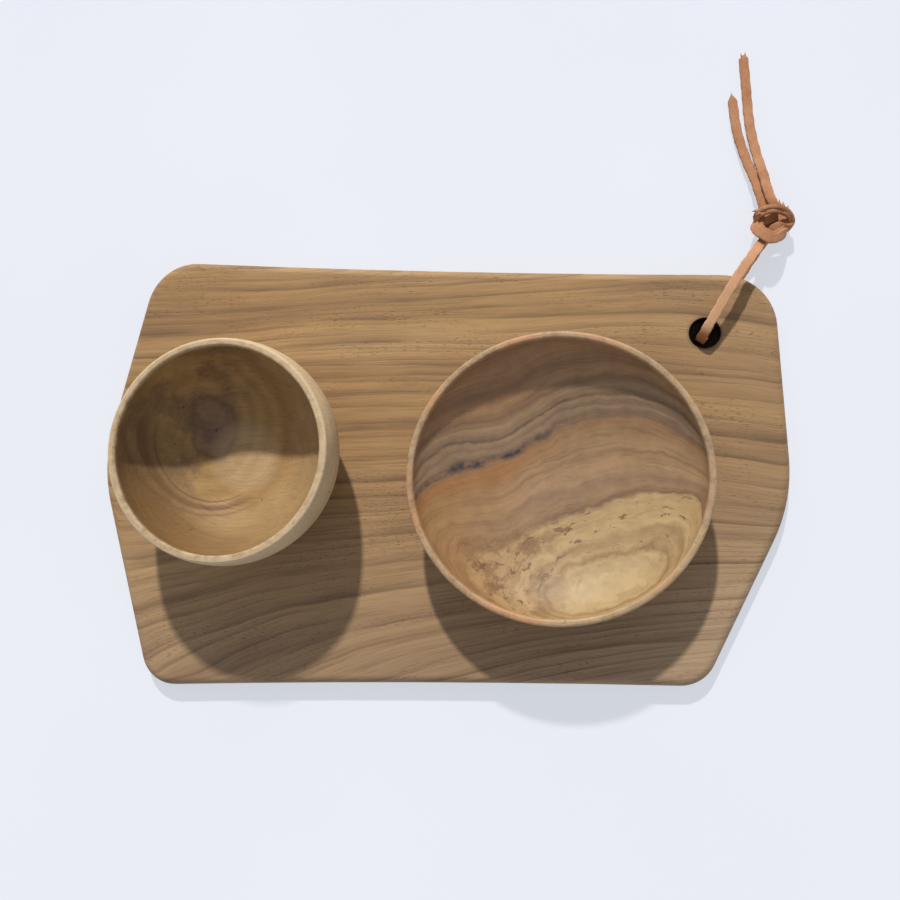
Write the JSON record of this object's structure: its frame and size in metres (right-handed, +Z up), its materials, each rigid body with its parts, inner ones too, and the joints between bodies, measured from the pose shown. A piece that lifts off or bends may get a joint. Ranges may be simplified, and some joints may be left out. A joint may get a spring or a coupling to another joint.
{
  "type": "chip and dip server",
  "caption": "Wooden serving board that carries a deep round dip cup and a shallow round chip dish, with a knotted leather hanging lace through its corner.",
  "frame": {"origin": "on the table, under the middle of the board's bounding box", "axes": "+X along the board towards the chip dish and the lace hole, +Y across the board towards the edge that the lace leaves by, +Z up"},
  "size_m": [0.3539, 0.3168, 0.059],
  "materials": {
    "board_wood": "oiled",
    "small_bowl_wood": "matte",
    "large_bowl_wood": "satin",
    "lace_leather": "matte"
  },
  "bodies": {
    "board": {"serving_board": "board_wood", "lace_over_leg": "lace_leather", "lace_under_leg": "lace_leather", "lace_knot": "lace_leather", "lace_long_tail": "lace_leather", "lace_short_tail": "lace_leather"},
    "dip_cup": {"small_bowl": "small_bowl_wood"},
    "chip_dish": {"large_bowl": "large_bowl_wood"}
  },
  "joints": [
    {"name": "dip_cup_lift", "type": "slide", "parent": "board", "child": "dip_cup", "axis": [0, 0, 1], "range_m": [0, 0.08]},
    {"name": "chip_dish_lift", "type": "slide", "parent": "board", "child": "chip_dish", "axis": [0, 0, 1], "range_m": [0, 0.08]}
  ]
}
